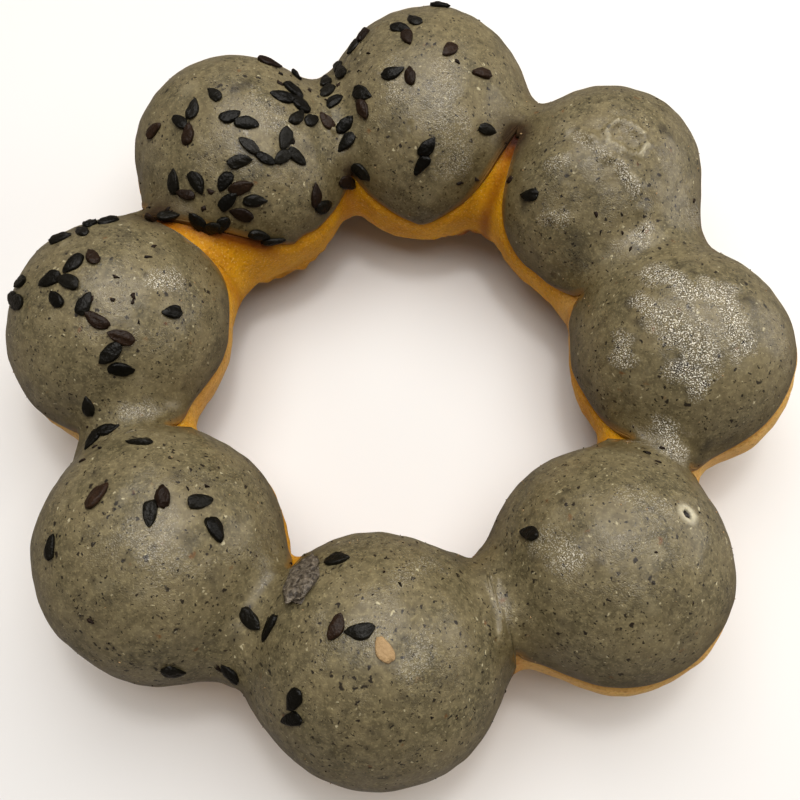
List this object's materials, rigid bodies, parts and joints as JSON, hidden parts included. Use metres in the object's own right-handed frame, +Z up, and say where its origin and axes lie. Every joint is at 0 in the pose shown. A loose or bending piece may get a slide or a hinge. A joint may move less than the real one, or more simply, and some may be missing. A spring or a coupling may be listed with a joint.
{
  "type": "doughnut",
  "caption": "Ring doughnut of joined round dough balls, its top half under a thin grey glaze with whole seeds stuck in it.",
  "frame": {"origin": "middle of the doughnut's bounding box, on the surface it rests on", "axes": "+Z up through the hole, glazed side up; +Y points away from the viewer of the picture, +X to the right"},
  "size_m": [0.0947, 0.1003, 0.0267],
  "materials": {
    "fried_dough": "matt, slightly oily fried crust, golden brown",
    "grey_sesame_glaze": "satin set sugar glaze, warm grey, full of ground black sesame, with black seeds"
  },
  "bodies": {
    "root": {"dough_ring": "fried_dough", "sesame_glaze": "grey_sesame_glaze"}
  },
  "joints": []
}
